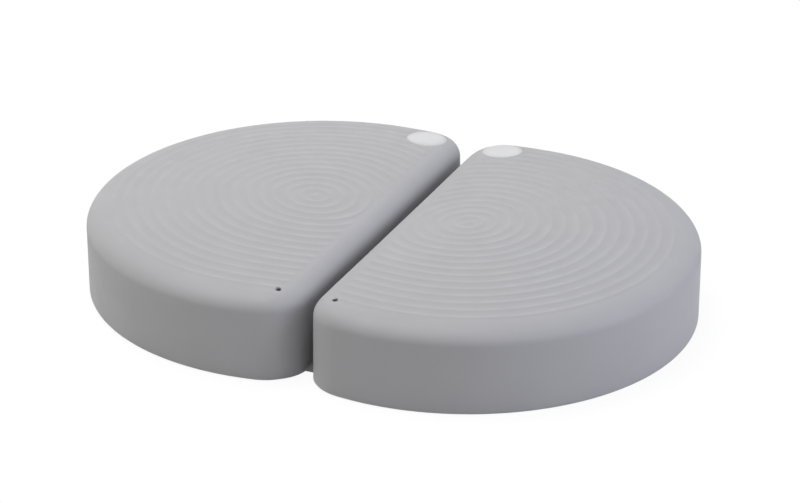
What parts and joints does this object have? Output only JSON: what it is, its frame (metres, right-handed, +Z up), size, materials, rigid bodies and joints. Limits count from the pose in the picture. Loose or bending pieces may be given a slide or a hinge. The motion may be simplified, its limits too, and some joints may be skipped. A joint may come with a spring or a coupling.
{
  "type": "balance cushion",
  "caption": "Oval inflatable balance cushion, split by a slit into half-moon air chambers with ridged, crowned tops and joined at floor level by a flexible web on which it folds.",
  "frame": {"origin": "on the floor, in the middle of the slit between the chambers", "axes": "+X across the chambers, from the left one to the right one; +Y along the slit, from the valves to the badges; +Z up"},
  "size_m": [0.51, 0.3796, 0.0768],
  "materials": {
    "vinyl": "matte soft vinyl, light grey",
    "web_vinyl": "matte soft vinyl, grey",
    "bung_rubber": "matte dark rubber",
    "badge": "glossy off-white, blank"
  },
  "bodies": {
    "left_half": {"left_chamber": "vinyl", "left_valve_bung": "bung_rubber", "left_badge": "badge", "hinge_web": "web_vinyl"},
    "right_half": {"right_chamber": "vinyl", "right_valve_bung": "bung_rubber", "right_badge": "badge"}
  },
  "joints": [
    {"name": "web_fold", "type": "hinge", "parent": "left_half", "child": "right_half", "pos_m": [0, 0, 0.002], "axis": [0, 1, 0], "range_deg": [-6.5, 130], "deforming": ["hinge_web"]}
  ]
}
